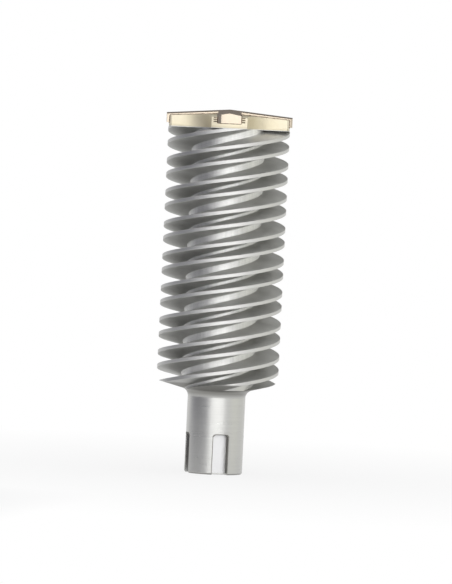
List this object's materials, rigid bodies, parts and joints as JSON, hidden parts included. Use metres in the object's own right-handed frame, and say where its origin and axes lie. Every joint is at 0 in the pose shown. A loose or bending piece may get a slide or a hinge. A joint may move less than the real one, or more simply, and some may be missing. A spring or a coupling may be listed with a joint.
{
  "type": "hammer drill bit",
  "caption": "Stubby rotary hammer drill bit: slotted round shank, thin-flighted spiral body and a cross-shaped head with brazed carbide cutters.",
  "frame": {"origin": "centre of the shank's end face, on the axis of rotation", "axes": "+Z along the axis towards the point, X along the full-width carbide plate"},
  "size_m": [0.0392, 0.0386, 0.1134],
  "materials": {
    "steel": "shot-blasted bright steel, head end in a pale gold lacquer",
    "carbide": "sintered carbide under a thin pale gold lacquer"
  },
  "bodies": {
    "root": {"body": "steel", "main_cutter": "carbide", "front_cutter": "carbide", "rear_cutter": "carbide"}
  },
  "joints": []
}
